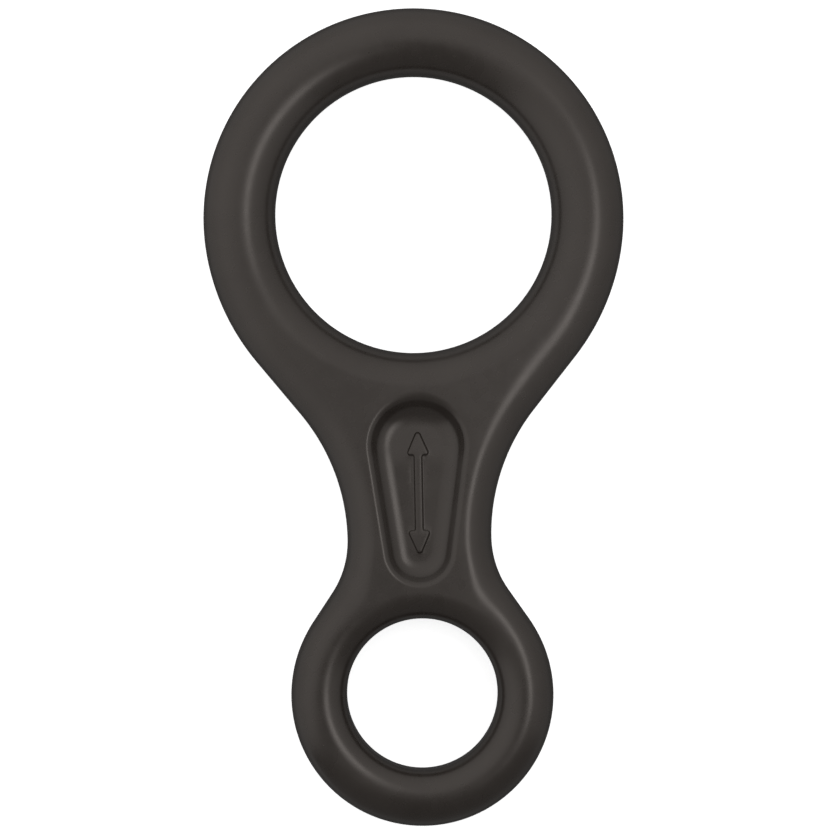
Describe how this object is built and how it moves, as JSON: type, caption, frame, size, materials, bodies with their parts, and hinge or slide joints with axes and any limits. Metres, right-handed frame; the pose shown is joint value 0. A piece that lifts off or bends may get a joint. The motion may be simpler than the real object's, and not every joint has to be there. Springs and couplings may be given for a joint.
{
  "type": "rope descender",
  "caption": "Figure-8 rope descender: forged body with a large rope eye, a small carabiner eye and a waisted, pocketed web between them.",
  "frame": {"origin": "on the underside, at the middle of the bounding box", "axes": "+Y along the body to the large rope eye, +Z through the thickness, out of the front face, +X to the right"},
  "size_m": [0.0668, 0.13, 0.012],
  "materials": {
    "anodised_aluminium": "dark grey-brown hard anodising, satin, over a tumbled forging"
  },
  "bodies": {
    "root": {"descender_body": "anodised_aluminium"}
  },
  "joints": []
}
